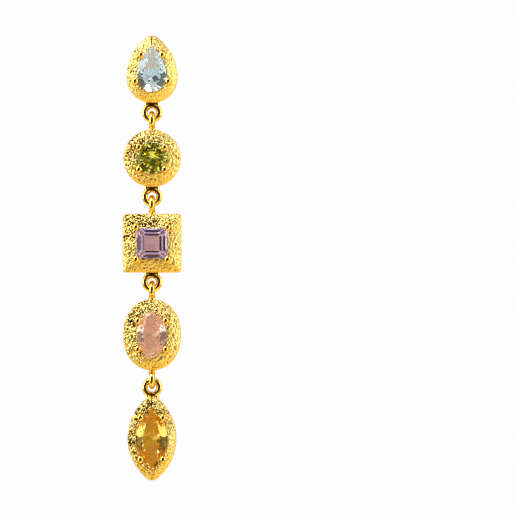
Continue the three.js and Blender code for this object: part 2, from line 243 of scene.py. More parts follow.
class WellColours(bpy.types.PropertyGroup):
    """Dull metal of the wells, which shows through the stones and gives off a painted glow"""

    __annotations__ = for_stations(
        (
            ("floor", colour, "Behind the middle of the stone"),
            ("mark", colour, "Marks there"),
            ("wall", colour, "Wall round the stone"),
            # The glow is painted light: the well gives off light that stands in for what the
            # stone gathers
            ("glow", share, "Light that the stone gathers there"),
        ),
        {
            "pear": ((0.90, 0.66, 0.50), (0.82, 0.84, 0.84), (0.80, 0.88, 0.92), 0.65),
            "round": ((0.90, 0.80, 0.42), (0.45, 0.50, 0.18), (0.55, 0.52, 0.30), 0.5),
            "square": ((0.92, 0.66, 0.42), (0.80, 0.58, 0.40), (0.70, 0.55, 0.68), 0.7),
            "oval": ((0.72, 0.55, 0.42), (0.70, 0.52, 0.42), (0.95, 0.62, 0.40), 0.6),
            "marquise": ((0.80, 0.52, 0.42), (0.85, 0.60, 0.24), (0.90, 0.42, 0.08), 0.42),
        },
    )


class GoldColours(bpy.types.PropertyGroup):
    """Gold plating"""

    gold: colour("Gold", (0.97, 0.68, 0.18), "Clean polished plating")
    grained: colour("Grained gold", (0.97, 0.77, 0.29), "Plating of the grained flanks")
    edge: colour("Edge", (0.9, 0.65, 0.3), "Tint of the gold at a glancing angle")
    # Painted shade: the next colour is the deeper yellow-brown painted low between the bumps
    valley_shade: colour("Ochre", (0.78, 0.46, 0.10), "Plating low down between the bumps")
    # Painted shade: the next colour darkens the plating at the bottom of the cracks, in the
    # creases and in the recess between a ring's arms
    pit: colour("Pit", (0.05, 0.022, 0.004), "Darkened plating at the bottom of the pits")
    polish: share("Polish", 0.13, "Roughness of the polished gold")
    satin: share("Satin", 0.3, "Roughness of the grained gold")
    back_softness: share("Back softness", 0.2, "More roughness where there is no grain")


class StudioSizes(bpy.types.PropertyGroup):
    """Camera, light and floor"""

    camera_distance: length("Camera distance", 600, "From the camera to the earring")
    view_width: length("View width", 65.3, "Width of what the camera sees there")
    aim_across: length("Aim across", 13.4, "Middle of the picture, right of the earring")
    aim_up: length("Aim up", -23.3, "Middle of the picture, up from the ear post")
    floor_drop: length("Floor drop", 40, "From the earring's foot down to the floor")
    floor_radius: length("Floor radius", 300, "Half the width of the floor")
    pale: colour("Pale", (0.985, 0.985, 0.985), "Floor and background")
    front: colour("Front", (0.9, 0.89, 0.87), "Light from the camera's side")
    side: colour("Side", (0.60, 0.58, 0.54), "Light from the sides")
    back: colour("Back", (0.72, 0.70, 0.64), "Light from behind")
    patch_size: share("Patch size", 0.5, "Size of the brighter and darker patches of light")
    patch_seed: share("Patch seed", 6.4, "Where the patches fall")
    patch_low: share("Patch low", 0.12, "Light of the darker patches")
    patch_high: share("Patch high", 1.6, "Light of the brighter patches")
    table_glow: colour("Table glow", (1.0, 0.776, 0.296), "Warm light from below")
    table_strength: share("Table strength", 1.25, "Strength of that light")


GROUPS = {
    "earring_frames": FrameSizes,
    "earring_grain": GrainSizes,
    "earring_claws": ClawSizes,
    "earring_loops": LoopSizes,
    "earring_post": PostSizes,
    "earring_stones": StoneColours,
    "earring_gold": GoldColours,
    "earring_wells": WellColours,
    "earring_studio": StudioSizes,
}


def in_millimetres(group):
    """The values of a property group as plain numbers, with each length in millimetres."""
    values = {}
    for prop in group.bl_rna.properties:
        if prop.identifier in ("rna_type", "name"):
            continue
        value = getattr(group, prop.identifier)
        values[prop.identifier] = value / METRES if prop.unit == "LENGTH" else value
    return SimpleNamespace(**values)


def of_station(group, station, *fields):
    """The values of a station's fields in a property group."""
    return [getattr(group, f"{station}_{field}") for field in fields]


# Outlines. Each is an array of (across, up) points in millimetres, which starts at the top and
# runs down the +X side, as the solids' outlines do.


def arc(centre, radius, start, end, steps):
    turn = np.linspace(start, end, steps, endpoint=False)
    return np.column_stack(
        (centre[0] + radius * np.cos(turn), centre[1] + radius * np.sin(turn))
    )


def arch_side(half_width, tip, tip_radius, steps):
    """The +X side of a pointed arch, from its tip down to the line where it is widest."""
    tip_centre = tip - tip_radius
    side_radius = (half_width**2 + tip_centre**2 - tip_radius**2) / (
        2 * (half_width - tip_radius)
    )
    side_centre = half_width - side_radius
    meeting = math.atan2(tip_centre, -side_centre)
    tip_steps = round(steps / 4) if tip_radius > 0 else 0
    return np.vstack(
        (
            arc((0, tip_centre), tip_radius, math.pi / 2, meeting, tip_steps),
            arc((side_centre, 0), side_radius, meeting, 0, steps - tip_steps),
        )
    )


def grown_tip(half_width, tip, grow):
    """The tip of a sharp arch whose sides have all moved out by the same distance."""
    side_radius = (half_width**2 + tip**2) / (2 * half_width)
    return math.sqrt((side_radius + grow) ** 2 - (side_radius - half_width) ** 2)


def closed(half, foot):
    back = half[1:][::-1] * (-1, 1)
    return np.vstack((half, [(0, foot)], back))


def pear_outline(half_width, tip, tip_radius):
    steps = OUTLINE_STEPS // 4
    side = arch_side(half_width, tip, tip_radius, steps)
    bowl = arc((0, 0), half_width, 0, -math.pi / 2, steps)
    return closed(np.vstack((side, bowl)), -half_width)


def marquise_outline(half_width, tip, tip_radius):
    upper = arch_side(half_width, tip, tip_radius, OUTLINE_STEPS // 4)
    lower = upper[1:][::-1] * (1, -1)
    return closed(np.vstack((upper, [(half_width, 0)], lower)), -tip)


def oval_outline(half_width, half_height, fullness=2.0):
    turn = np.linspace(0, 2 * math.pi, OUTLINE_STEPS, endpoint=False)
    across, up = np.sin(turn), np.cos(turn)
    return np.column_stack(
        (
            half_width * np.sign(across) * np.abs(across) ** (2 / fullness),
            half_height * np.sign(up) * np.abs(up) ** (2 / fullness),
        )
    )


def square_outline(half_side, corner_radius):
    centre = half_side - corner_radius
    straight = OUTLINE_STEPS // 4 - CORNER_STEPS
    along = np.linspace(0, 1, straight, endpoint=False)[:, None]
    stretches = []
    for corner in range(4):
        start = math.pi / 2 - corner * math.pi / 2
        end = start - math.pi / 2
        middles = [start - math.pi / 4, end - math.pi / 4]
        corners = [
            centre * math.sqrt(2) * np.array((math.cos(turn), math.sin(turn)))
            for turn in middles
        ]
        out = corner_radius * np.array((math.cos(end), math.sin(end)))
        stretches.append(arc(corners[0], corner_radius, start, end, CORNER_STEPS))
        stretches.append(corners[0] + out + (corners[1] - corners[0]) * along)
    return np.vstack(stretches)


def stone_box(name):
    """The lowest and highest corners of a station's stone, in millimetres."""
    return [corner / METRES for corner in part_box(name + "_stone")]


def station_shape(name, sizes):
    """A station's height, its stone's outline moved out by grow, and its outer edge."""
    low, high = stone_box(name)
    half_width = (high.x - low.x) / 2
    half_height = (high.z - low.z) / 2
    centre = (high.z + low.z) / 2
    above = below = half_height
    if name == "pear":
        centre = low.z + half_width
        above = high.z - centre
        below = half_width
    if name in ("pear", "marquise"):
        outline = pear_outline if name == "pear" else marquise_outline
        flank, tip_flank, tip_radius = of_station(
            sizes, name, "flank", "tip_flank", "tip_radius"
        )
        edge = outline(half_width + flank, above + tip_flank, tip_radius)

        def girdle(grow):
            return outline(half_width + grow, grown_tip(half_width, above, grow), 0)

    elif name == "square":
        edge = square_outline(half_width + sizes.square_flank, sizes.square_corner)

        def girdle(grow):
            return square_outline(half_width + grow, sizes.stone_corner + grow)

    elif name == "oval":
        edge = oval_outline(
            half_width + sizes.oval_side_flank,
            half_height + sizes.oval_end_flank,
            sizes.oval_fullness,
        )

        def girdle(grow):
            return oval_outline(half_width + grow, half_height + grow)

    else:
        edge = oval_outline(half_width + sizes.round_flank, half_width + sizes.round_flank)

        def girdle(grow):
            return oval_outline(half_width + grow, half_width + grow)

    return SimpleNamespace(
        girdle=girdle,
        edge=edge,
        above=above,
        below=below,
        up=centre,
        top=edge[:, 1].max(),
        foot=edge[:, 1].min(),
    )


# Meshes


def lift(outline, height):
    """The points of an outline at a height above the back, which is towards -Y."""
    heights = np.full(len(outline), height)
    return np.column_stack((outline[:, 0], -heights, outline[:, 1]))


def shell(rings):
    """Points and faces of a closed skin through rings of equal count, capped at both ends."""
    count = len(rings[0])
    points = np.vstack((*rings, rings[0].mean(axis=0), rings[-1].mean(axis=0)))
    here = np.arange(count)
    after = np.roll(here, -1)
    faces = []
    for row in range(len(rings) - 1):
        base = row * count
        quads = (base + here, base + count + here, base + count + after, base + after)
        faces.extend(np.column_stack(quads).tolist())
    last = (len(rings) - 1) * count
    first_pole = np.full(count, len(points) - 2)
    last_pole = np.full(count, len(points) - 1)
    faces.extend(np.column_stack((first_pole, here, after)).tolist())
    faces.extend(np.column_stack((last_pole, last + after, last + here)).tolist())
    return points, faces


def volume(points, faces):
    """Six times the volume inside the faces, below zero where they point inwards."""
    total = 0.0
    for face in faces:
        corners = points[list(face)]
        for k in range(1, len(face) - 1):
            total += np.dot(corners[0], np.cross(corners[k], corners[k + 1]))
    return total


def mesh_of(name, points, faces):
    """A closed mesh in millimetres whose faces point outwards."""
    if volume(points, faces) < 0:
        faces = [face[::-1] for face in faces]
    mesh = bpy.data.meshes.new(name)
    mesh.from_pydata(points.tolist(), [], faces)
    mesh.validate()
    mesh.update()
    return mesh


def turned(profile, sides):
    """Rings of a solid turned about the Y axis, from (out, along) pairs."""
    turn = np.linspace(0, 2 * math.pi, sides, endpoint=False)
    circle = np.column_stack((np.cos(turn), np.sin(turn)))
    return [
        np.column_stack((out * circle[:, 0], np.full(sides, along), out * circle[:, 1]))
        for out, along in profile
    ]


def weigh(mesh, name, values):
    attribute = mesh.attributes.new(name, "FLOAT", "POINT")
    attribute.data.foreach_set("value", np.asarray(values, dtype=np.float32))


def working(name, mesh):
    piece = bpy.data.objects.new(name, mesh)
    bpy.context.scene.collection.objects.link(piece)
    return piece


def settle(piece, place=Matrix.Identity(4), crisp=CRISP_ANGLE):
    """Turns a piece made in millimetres, with its modifiers, into a plain mesh in metres."""
    bpy.context.view_layer.update()
    graph = bpy.context.evaluated_depsgraph_get()
    made = bpy.data.meshes.new_from_object(
        piece.evaluated_get(graph), preserve_all_data_layers=True, depsgraph=graph
    )
    piece.modifiers.clear()
    made.name = piece.name
    made.transform(Matrix.Scale(METRES, 4) @ place)
    made.shade_smooth()
    if crisp:
        made.set_sharp_from_angle(angle=crisp)
    piece.data = made
    return piece


def dress(piece, body, node):
    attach(piece, body)
    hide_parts(node)


# Nodes


def feed(tree, node, inputs):
    """Sets inputs of a node, each by a value or by the socket that feeds it."""
    for key, value in inputs.items():
        if isinstance(value, bpy.types.NodeSocket):
            tree.links.new(value, node.inputs[key])
        else:
            node.inputs[key].default_value = value


def add(tree, kind, inputs=None, **settings):
    """The outputs of a new node."""
    node = tree.nodes.new(kind)
    for key, value in settings.items():
        setattr(node, key, value)
    feed(tree, node, inputs or {})
    return node.outputs


def maths(tree, operation, first, second=0.0, third=0.0):
    return add(tree, "ShaderNodeMath", {0: first, 1: second, 2: third}, operation=operation)[0]


def ramp(tree, value, start, end, low=0.0, high=1.0, kind="LINEAR"):
    """Runs from low to high while value runs from start to end."""
    inputs = {
        "Value": value,
        "From Min": start,
        "From Max": end,
        "To Min": low,
        "To Max": high,
    }
    return add(tree, "ShaderNodeMapRange", inputs, interpolation_type=kind)[0]


def smooth_step(tree, value, start, end):
    """Runs smoothly from 0 at start to 1 at end."""
    return ramp(tree, value, start, end, kind="SMOOTHSTEP")


def noise(tree, place, scale, detail=2.0, roughness=0.5):
    """Soft noise as a number and as a colour."""
    inputs = {"Vector": place, "Scale": scale, "Detail": detail, "Roughness": roughness}
    return add(tree, "ShaderNodeTexNoise", inputs)


def mix(tree, factor, first, second):
    """A colour between two, each given by its red, green and blue or by a socket."""
    ends = [
        tint if isinstance(tint, bpy.types.NodeSocket) else (*tint, 1)
        for tint in (first, second)
    ]
    inputs = {"Factor": factor, 6: ends[0], 7: ends[1]}
    return add(tree, "ShaderNodeMix", inputs, data_type="RGBA")[2]


def between(tree, factor, first, second):
    """A number between two."""
    return add(tree, "ShaderNodeMix", {"Factor": factor, "A": first, "B": second})[0]


# Geometry node trees

SEED_SHIFT = 31.7  # millimetres between the places where two seeds read the noise
DOME_TOP = 0.4  # height of a bump before its depth is applied
WANDER = 0.8  # how far the cells are bent, as a share of a bump's width
BREAKING = -0.7  # how much the uneven patches break up the cracks
CLUSTER_SCALE = 0.28  # of the bumps' scale
CLUSTER_RANGE = (0.35, 0.65, 0.6, 1.3)  # noise from and to, cracks from and to
PIT_CORE = 0.5  # share of a crack's width that is darkest
VALLEY_RANGE = (0.26, 0.04)  # shares of a bump from its edge, where the gold takes its painted valley shade


def new_tree(name, **kinds):
    """A geometry node tree, with its sockets for the labels given for each kind of input."""
    tree = bpy.data.node_groups.new(name, "GeometryNodeTree")
    for kind, labels in {"Geometry": ("Geometry",), **kinds, "Material": ("Material",)}.items():
        for label in labels:
            tree.interface.new_socket(label, in_out="INPUT", socket_type="NodeSocket" + kind)
    tree.interface.new_socket("Geometry", in_out="OUTPUT", socket_type="NodeSocketGeometry")
    return tree, tree.nodes.new("NodeGroupInput").outputs


def end_tree(tree, geometry, material, where=True):
    """Closes a tree with Realize Instances and Set Material."""
    real = add(tree, "GeometryNodeRealizeInstances", {"Geometry": geometry})[0]
    inputs = {"Geometry": real, "Selection": where, "Material": material}
    covered = add(tree, "GeometryNodeSetMaterial", inputs)[0]
    tree.links.new(covered, tree.nodes.new("NodeGroupOutput").inputs[0])


def use_tree(piece, tree, values):
    """Puts a tree on a piece and sets its named inputs."""
    modifier = piece.modifiers.new(tree.name, "NODES")
    modifier.node_group = tree
    for item in tree.interface.items_tree:
        if item.in_out == "INPUT" and item.name in values:
            modifier[item.identifier] = values[item.name]


# The grain tree's inputs that are sizes of the grain
GRAIN_INPUTS = (
    "Pebble",
    "Pebble depth",
    "Ripple",
    "Ripple depth",
    "Crack width",
    "Crack depth",
    "Crease depth",
)


def grain_tree():
    """Raises pebbles and uneven patches, and sinks the cracks between them and the creases."""
    tree, given = new_tree("grained flank", Float=GRAIN_INPUTS, Int=("Seed",))

    def vector(operation, inputs):
        return add(tree, "ShaderNodeVectorMath", inputs, operation=operation)[0]

    def weight(name):
        inputs = {"Name": name}
        return add(tree, "GeometryNodeInputNamedAttribute", inputs, data_type="FLOAT")[0]

    position = add(tree, "GeometryNodeInputPosition")[0]
    shift = maths(tree, "MULTIPLY", given["Seed"], SEED_SHIFT)
    place = vector("ADD", {0: position, 1: shift})
    scale = maths(tree, "DIVIDE", 1.0, given["Pebble"])
    wander = noise(tree, place, scale)["Color"]
    bend = maths(tree, "MULTIPLY", given["Pebble"], WANDER)
    bent = vector("MULTIPLY_ADD", {0: wander, 1: bend, 2: place})
    cells = {"Vector": bent, "Scale": scale}
    out = add(tree, "ShaderNodeTexVoronoi", cells, feature="F1")["Distance"]
    dome = maths(tree, "SUBTRACT", DOME_TOP, maths(tree, "MULTIPLY", out, out))
    ripple_scale = maths(tree, "DIVIDE", 1.0, given["Ripple"])
    ripples = noise(tree, place, ripple_scale, detail=3.0, roughness=0.62)[0]
    ripple = maths(tree, "SUBTRACT", ripples, 0.5)
    edges = add(tree, "ShaderNodeTexVoronoi", cells, feature="DISTANCE_TO_EDGE")["Distance"]
    broken = maths(tree, "MULTIPLY_ADD", ripple, BREAKING, edges)
    clusters = noise(tree, place, maths(tree, "MULTIPLY", scale, CLUSTER_SCALE))[0]
    clustered = ramp(tree, clusters, *CLUSTER_RANGE)

    grain = weight("grain")
    crease = weight("crease")
    deeper = maths(tree, "MULTIPLY", weight("deeper"), clustered)
    width = maths(tree, "MULTIPLY", given["Crack width"], deeper)
    pit = smooth_step(tree, broken, width, maths(tree, "MULTIPLY", width, PIT_CORE))
    pit = maths(tree, "MULTIPLY", pit, maths(tree, "MINIMUM", deeper, 1.0))
    height = maths(tree, "MULTIPLY", dome, given["Pebble depth"])
    height = maths(tree, "MULTIPLY_ADD", ripple, given["Ripple depth"], height)
    sunk = maths(tree, "MULTIPLY", pit, given["Crack depth"])
    height = maths(tree, "MULTIPLY", maths(tree, "SUBTRACT", height, sunk), grain)
    groove = maths(tree, "MULTIPLY", crease, given["Crease depth"])
    height = maths(tree, "SUBTRACT", height, groove)
    normal = add(tree, "GeometryNodeInputNormal")[0]
    offset = vector("SCALE", {0: normal, "Scale": height})
    moves = {"Geometry": given["Geometry"], "Offset": offset}
    stored = add(tree, "GeometryNodeSetPosition", moves)[0]
    # Painted shade: the cracks and creases are marked to be painted near black, and the low
    # ground between the bumps to be painted a deeper gold
    dark = maths(tree, "MAXIMUM", maths(tree, "MULTIPLY", pit, grain), crease)
    valley_shade_mask = maths(tree, "MULTIPLY", smooth_step(tree, broken, *VALLEY_RANGE), grain)
    for name, value in (("pits", dark), ("valleys", valley_shade_mask)):
        stored = add(
            tree,
            "GeometryNodeStoreNamedAttribute",
            {"Geometry": stored, "Name": name, "Value": value},
            data_type="FLOAT",
            domain="POINT",
        )[0]
    outside = maths(tree, "GREATER_THAN", weight("outside"), 0.5)
    end_tree(tree, stored, given["Material"], outside)
    return tree


def claw_tree():
    """Stands a claw on each point, and cuts it clear of the stone."""
    tree, given = new_tree("claw set", Object=("Claw", "Stone"))
    claw, stone = (
        add(tree, "GeometryNodeObjectInfo", {"Object": given[label]})["Geometry"]
        for label in ("Claw", "Stone")
    )
    inputs = {"Points": given["Geometry"], "Instance": claw}
    stood = add(tree, "GeometryNodeInstanceOnPoints", inputs)[0]
    real = add(tree, "GeometryNodeRealizeInstances", {"Geometry": stood})[0]
    cut = add(
        tree,
        "GeometryNodeMeshBoolean",
        {"Mesh 1": real, "Mesh 2": stone},
        operation="DIFFERENCE",
        solver="EXACT",
    )
    end_tree(tree, cut["Mesh"], given["Material"])
    return tree


def loop_tree():
    """A wire ring round Y with two arms and a web that run up to a frame above it."""
    tree, given = new_tree(
        "soldered loop",
        Float=("Ring radius", "Wire radius", "Arm radius", "Arm flare"),
        Vector=("Arm start", "Arm bend", "Arm end", "Web size", "Web place", "Turn"),
    )

    def circle(radius, sides):
        inputs = {"Resolution": sides, "Radius": radius}
        return add(tree, "GeometryNodeCurvePrimitiveCircle", inputs, mode="RADIUS")["Curve"]

    def rotation(turn):
        return add(tree, "FunctionNodeEulerToRotation", {0: turn})[0]

    def moved(geometry, **move):
        return add(tree, "GeometryNodeTransform", {"Geometry": geometry, **move})[0]

    wire = {
        "Curve": circle(given["Ring radius"], RING_SIDES),
        "Profile Curve": circle(given["Wire radius"], WIRE_SIDES),
    }
    ring = add(tree, "GeometryNodeCurveToMesh", wire)[0]
    ring = moved(ring, Rotation=rotation(given["Turn"]))
    bend = {
        "Resolution": ARM_STEPS,
        "Start": given["Arm start"],
        "Middle": given["Arm bend"],
        "End": given["Arm end"],
    }
    curve = add(tree, "GeometryNodeCurveQuadraticBezier", bend)[0]
    factor = add(tree, "GeometryNodeSplineParameter")["Factor"]
    swell = maths(tree, "POWER", factor, 2.0)
    spare = maths(tree, "SUBTRACT", given["Arm flare"], given["Arm radius"])
    radius = maths(tree, "MULTIPLY_ADD", swell, spare, given["Arm radius"])
    curve = add(tree, "GeometryNodeSetCurveRadius", {"Curve": curve, "Radius": radius})[0]
    swept = {
        "Curve": curve,
        "Profile Curve": circle(1.0, WIRE_SIDES),
        "Scale": radius,
        "Fill Caps": True,
    }
    arm = add(tree, "GeometryNodeCurveToMesh", swept)[0]
    other = moved(arm, Rotation=rotation((0.0, 0.0, math.pi)))
    plate = add(tree, "GeometryNodeMeshCube", {"Size": given["Web size"]})[0]
    web = moved(plate, Translation=given["Web place"])
    joined = tree.nodes.new("GeometryNodeJoinGeometry")
    for part in (ring, arm, other, web):
        tree.links.new(part, joined.inputs[0])
    end_tree(tree, joined.outputs[0], given["Material"])
    return tree


# Finishes

# Widths of patches, in millimetres
GOLD_PATCH = 1.4
STONE_CLOUD = 2.5
WELL_MARK = 1.3

# How much deeper a colour is in its darker patches, as a power
GOLD_DEPTH = 1.2
STONE_DEPTH = 1.25

# For each plating: its colour, its roughness, and its tooth's width in millimetres and strength
PLATINGS = {
    "polished gold": ("gold", "polish", 0.2, 0.03),
    "grained gold": ("grained", "satin", 0.11, 0.35),
}
# How much of the painted valley shade the gold takes low between the bumps
VALLEY_SHADE_SHARE = 0.5
GLOSS_RANGE = (0.8, 1.3)  # shares of the roughness, from patch to patch
# The wells' base colour is dulled by this share, as their painted glow gives most of their
# light
WELL_DULLING = 0.6
WELL_ROUGHNESS = 0.55
SOFT_CARD_CORE = 0.62  # share of a soft card's radius that is quite dark


def new_material(name):
    material = bpy.data.materials.new(name)
    material.use_nodes = True
    tree = material.node_tree
    return material, tree, tree.nodes["Principled BSDF"]


def bare_material(name):
    """A material with nothing in it but its output, whose surface socket comes last."""
    material = bpy.data.materials.new(name)
    material.use_nodes = True
    tree = material.node_tree
    tree.nodes.clear()
    return material, tree, tree.nodes.new("ShaderNodeOutputMaterial").inputs[0]


def on_object(tree):
    return add(tree, "ShaderNodeTexCoord")["Object"]


def painted(tree, name):
    """A number that the mesh holds at its points."""
    return add(tree, "ShaderNodeAttribute", attribute_name=name)["Fac"]


def gold(name):
    """Gold plating with painted shade in its cracks, creases and recesses and low between its
    bumps, uneven gloss and a fine tooth.
    """
    if name in bpy.data.materials:
        return bpy.data.materials[name]
    tones = bpy.context.scene.earring_gold
    tint, finish, fine, bump = PLATINGS[name]
    base = tuple(getattr(tones, tint))
    roughness = getattr(tones, finish)
    material, tree, shader = new_material(name)
    place = on_object(tree)
    patches = noise(tree, place, 1 / (GOLD_PATCH * METRES), detail=3.0)[0]
    tooth = noise(tree, place, 1 / (fine * METRES), detail=4.0, roughness=0.65)[0]
    deep = tuple(channel**GOLD_DEPTH for channel in base)
    tone = mix(tree, smooth_step(tree, patches, 0.35, 0.7), base, deep)
    # Painted shade: a deeper yellow-brown low between the bumps
    valley_shade_amount = maths(tree, "MULTIPLY", painted(tree, "valleys"), VALLEY_SHADE_SHARE)
    tone = mix(tree, valley_shade_amount, tone, tones.valley_shade)
    # Painted shade: near black at the bottom of the cracks, in the creases and in the recess
    # between a ring's arms
    shade = mix(tree, smooth_step(tree, painted(tree, "pits"), 0.25, 0.9), tone, tones.pit)
    gloss = ramp(tree, patches, 0.3, 0.7, *(roughness * part for part in GLOSS_RANGE))
    grain = painted(tree, "grain")
    plain = maths(tree, "SUBTRACT", painted(tree, "outside"), grain)
    gloss = maths(tree, "MULTIPLY_ADD", plain, tones.back_softness, gloss)
    strength = maths(tree, "MULTIPLY", grain, bump)
    relief = {"Height": tooth, "Distance": fine * METRES, "Strength": strength}
    looks = {
        "Base Color": shade,
        "Roughness": gloss,
        "Normal": add(tree, "ShaderNodeBump", relief)[0],
        "Metallic": 1.0,
        "Specular Tint": (*tones.edge, 1),
    }
    feed(tree, shader, looks)
    return material


def stone_material(name, tint, clarity, index):
    """Clear cut stone with faint clouds of colour."""
    material, tree, shader = new_material(name)
    clouds = noise(tree, on_object(tree), 1 / (STONE_CLOUD * METRES))[0]
    deeper = tuple(channel**STONE_DEPTH for channel in tint)
    looks = {
        "Base Color": mix(tree, smooth_step(tree, clouds, 0.35, 0.65), tint, deeper),
        "Transmission Weight": clarity,
        "Roughness": 0.0,
        "IOR": index,
        "Specular Tint": (*tint, 1),
    }
    feed(tree, shader, looks)
    return material


def well_with_painted_glow(name):
    """Dull metal of a well, which shows through the stone and gives off its own colour as a
    painted glow that stands in for the light the stone gathers.
    """
    material, tree, shader = new_material(name + " well")
    tones = bpy.context.scene.earring_wells
    floor, mark, wall, glow = of_station(tones, name, "floor", "mark", "wall", "glow")
    marks = noise(tree, on_object(tree), 1 / (WELL_MARK * METRES))[0]
    marked = mix(tree, smooth_step(tree, marks, 0.47, 0.55), floor, mark)
    blend = mix(tree, painted(tree, "wall"), marked, wall)
    # Painted light: the well gives off its own colour as a glow, which stands in for the light
    # the stone gathers
    looks = {
        "Base Color": mix(tree, WELL_DULLING, blend, (0.0, 0.0, 0.0)),
        "Emission Color": blend,
        "Emission Strength": glow,
        "Roughness": WELL_ROUGHNESS,
    }
    feed(tree, shader, looks)
    return material


def glow_material(name, tint, strength):
    """A surface that only gives off light."""
    material, tree, surface = bare_material(name)
    inputs = {"Color": (*tint, 1), "Strength": strength}
    tree.links.new(add(tree, "ShaderNodeEmission", inputs)[0], surface)
    return material


def soft_dark_material(name, radius):
    """Takes away all light in its middle, and less and less of it towards its edge."""
    material, tree, surface = bare_material(name)
    inputs = {0: on_object(tree)}
    out = add(tree, "ShaderNodeVectorMath", inputs, operation="LENGTH")["Value"]
    cover = smooth_step(tree, out, radius, radius * SOFT_CARD_CORE)
    black = add(tree, "ShaderNodeEmission", {"Strength": 0.0})[0]
    clear = add(tree, "ShaderNodeBsdfTransparent")[0]
    both = add(tree, "ShaderNodeMixShader", {0: cover, 1: clear, 2: black})[0]
    tree.links.new(both, surface)
    return material


# Frames

# Slope of a flank: how far out from the rim to the edge, and how far up from the edge to the
# rim, both as shares of that flank
FLANK_PROFILE = (
    (1.0, 0.0),
    (0.965, 0.13),
    (0.88, 0.3),
    (0.5, 0.68),
    (0.12, 0.97),
    (0.0, 1.0),
)

# Rows of the flat back and of the well's floor, as shares of their outlines
BACK_SPREADS = (0.05, 0.35, 0.7, 0.96, 1.0)
FLOOR_SPREADS = (0.6, 0.2, 0.04)
LIP_DROP = 0.06  # millimetres from one row of the lip down to the next

# How much grain the upright edge has, and the heights between which it sets in
EDGE_GRAIN = 0.3
EDGE_GRAIN_HEIGHTS = (0.2, 0.6)
EDGE_SHARE = 0.95  # the flank further out than this has at least as much

# Ways out along the flank between which its grain sets in beside the rim and fades at the edge
RIM_FADE = (0.0, 0.1)
EDGE_FADE = (1.0, 0.93)

# How strong the cracks of each flank are, in depth and in their painted shade
CRACK_SHARES = {"pear": 0.74, "round": 0.98, "square": 1.0, "oval": 1.0, "marquise": 1.25}

# The grain and its cracks are plainer at the lower right, and stronger at the upper left and
# beside the stone. The cracks' dark colour is painted shade, darker at the upper left as if the
# light came from the lower right.
UPPER_LEFT = np.array((-0.7, 0.7))
UPPER_LEFT_POWER = 1.5
PLAIN_GRAIN = 0.72
UPPER_LEFT_GRAIN = 0.4
PLAIN_CRACKS = 0.45
UPPER_LEFT_CRACKS = 0.78
BESIDE_CRACKS = 0.85
BESIDE_PLAIN = 0.3
BESIDE_REACH = 0.22  # as a share of the flank

# Strength of the creases over the upper and under the lower tip, and where they set in, in
# millimetres from the stone's tip. A crease is sunk into the flank and also painted dark, as
# painted shade.
CREASE_SHARES = {"pear": (1.0, 0.0), "marquise": (1.0, 0.6)}
CREASE_START = -0.1
CREASE_END = 0.15
CREASE_GRAIN = 0.05  # creases are only where there is more grain than this


def rounded(points, rounds):
    """Cuts the corners of an open line, and keeps its ends."""
    for _ in range(rounds):
        start, end = points[:-1], points[1:]
        cut = np.empty((2 * len(start), 2))
        cut[0::2] = start * 0.75 + end * 0.25
        cut[1::2] = start * 0.25 + end * 0.75
        points = np.vstack((points[:1], cut, points[-1:]))
    return points


def flank_rows():
    """The flank's profile at even steps, from the edge to the rim."""
    line = rounded(np.array(FLANK_PROFILE), 3)
    walked = np.concatenate(([0], np.cumsum(np.hypot(*np.diff(line, axis=0).T))))
    even = np.linspace(0, walked[-1], FLANK_ROWS)
    return np.column_stack(
        (np.interp(even, walked, line[:, 0]), np.interp(even, walked, line[:, 1]))
    )


def smooth(value, start, end):
    along = np.clip((value - start) / (end - start), 0, 1)
    return along * along * (3 - 2 * along)


def frame_rows(shape, sizes, lip):
    """Rows of a frame from its back over its flank to the floor of its well.

    Each has an outline, a height, how grained it is, how far out it is, and whether it is
    outside or on the well's wall.
    """
    rows = []

    def row(outline, height, grain=0.0, out=0.0, outside=0.0, wall=0.0):
        values = {"outline": outline, "height": height, "grain": grain, "out": out}
        rows.append(SimpleNamespace(**values, outside=outside, wall=wall))

    rim = shape.girdle(-lip)
    wall = shape.girdle(sizes.seat_clearance)
    well = shape.girdle(-sizes.ledge_width)
    edge = shape.edge
    flank_width = math.hypot(*(edge[0] - rim[0]))
    back = rim + (edge - rim) * (1 - sizes.back_bevel / flank_width)
    seat = sizes.girdle_height - sizes.seat_clearance
    shelf = seat - sizes.ledge_slope * (sizes.ledge_width + sizes.seat_clearance)
    rise = sizes.rim_height - sizes.edge_thickness
    for spread in BACK_SPREADS:
        row(back * spread, 0.0, out=1.0, outside=1.0)
    for height in np.linspace(sizes.back_bevel, sizes.edge_thickness, WALL_ROWS)[:-1]:
        grain = EDGE_GRAIN * smooth(height, *EDGE_GRAIN_HEIGHTS)
        row(edge, height, grain, out=1.0, outside=1.0)
    for out, up in flank_rows():
        grain = smooth(out, *RIM_FADE) * smooth(out, *EDGE_FADE)
        grain = max(grain, EDGE_GRAIN * (out > EDGE_SHARE))
        height = sizes.edge_thickness + up * rise
        row(rim + (edge - rim) * out, height, grain, out, outside=1.0)
    row(rim, sizes.rim_height - LIP_DROP, wall=1.0)
    row(wall, sizes.rim_height - 2 * LIP_DROP, wall=1.0)
    row(wall, seat, wall=1.0)
    row(well, shelf, wall=1.0)
    row(well, (shelf + sizes.well_floor) / 2)
    row(well, sizes.well_floor)
    for spread in FLOOR_SPREADS:
        row(well * spread, sizes.well_floor)
    return rows


